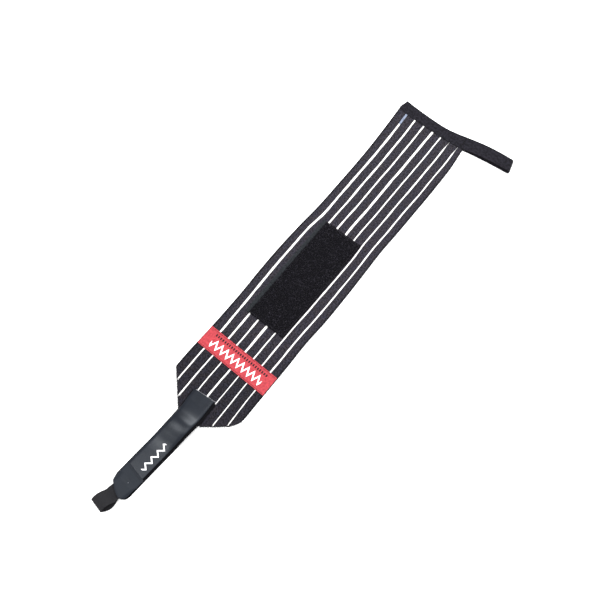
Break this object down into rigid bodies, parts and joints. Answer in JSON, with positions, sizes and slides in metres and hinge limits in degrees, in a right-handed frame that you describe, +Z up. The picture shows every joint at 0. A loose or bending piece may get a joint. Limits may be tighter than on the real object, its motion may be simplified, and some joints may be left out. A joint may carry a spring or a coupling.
{
  "type": "wrist wrap",
  "caption": "Flat wrist wrap of ribbed elastic with a thumb loop at one end and, at the other, a closing strap with hook tape, end pad and pull loop.",
  "frame": {"origin": "middle of the wrap's overall length and width, on the ground it lies on", "axes": "+X along the wrap from the pull loop to the thumb loop, +Y across it away from the thumb loop, +Z up"},
  "size_m": [0.5142, 0.1322, 0.0115],
  "materials": {
    "rib_elastic": "woven, matte",
    "label_weave": "woven, slight sheen",
    "loop_pile": "brushed pile, matte",
    "strap_coating": "smooth, satin",
    "hook_weave": "woven nylon with hooks",
    "pad_coating": "fine grain, matte",
    "webbing": "woven, matte",
    "tape_elastic": "woven, matte"
  },
  "bodies": {
    "root": {"band": "rib_elastic", "label": "label_weave", "loop_patch": "loop_pile", "strap_top": "strap_coating", "hook_tape": "hook_weave", "strap_end_pad": "pad_coating", "pull_loop": "webbing", "thumb_loop_tape": "tape_elastic"}
  },
  "joints": []
}
